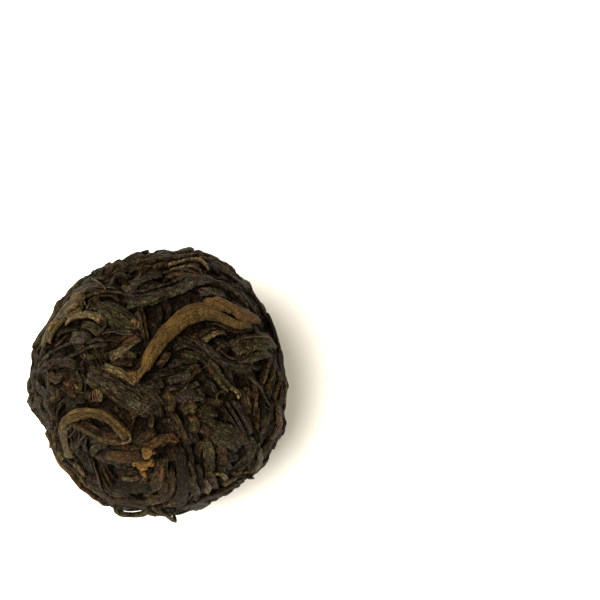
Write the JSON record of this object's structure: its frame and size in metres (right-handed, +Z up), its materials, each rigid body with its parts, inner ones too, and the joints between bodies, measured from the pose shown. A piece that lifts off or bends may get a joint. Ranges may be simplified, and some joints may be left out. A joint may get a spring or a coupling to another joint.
{
  "type": "pu-erh tea pearl",
  "caption": "Hand-rolled ball of pressed dark fermented tea leaves, with curled strips and golden buds showing all over its surface and a small flat spot to rest on",
  "frame": {"origin": "middle of the underside of the ball's box, on the small flat spot that it rests on", "axes": "+Z up; the ball's longest way across lies along Y and its shortest along Z; the picture looks down on it from the -Y side, 70 degrees above the table"},
  "size_m": [0.028, 0.0296, 0.0272],
  "materials": {
    "pressed_tea": "dark olive-brown fermented tea leaf, rolled and pressed, dry and satin-matt, with some golden-brown buds"
  },
  "bodies": {
    "root": {"tea_pearl": "pressed_tea"}
  },
  "joints": []
}
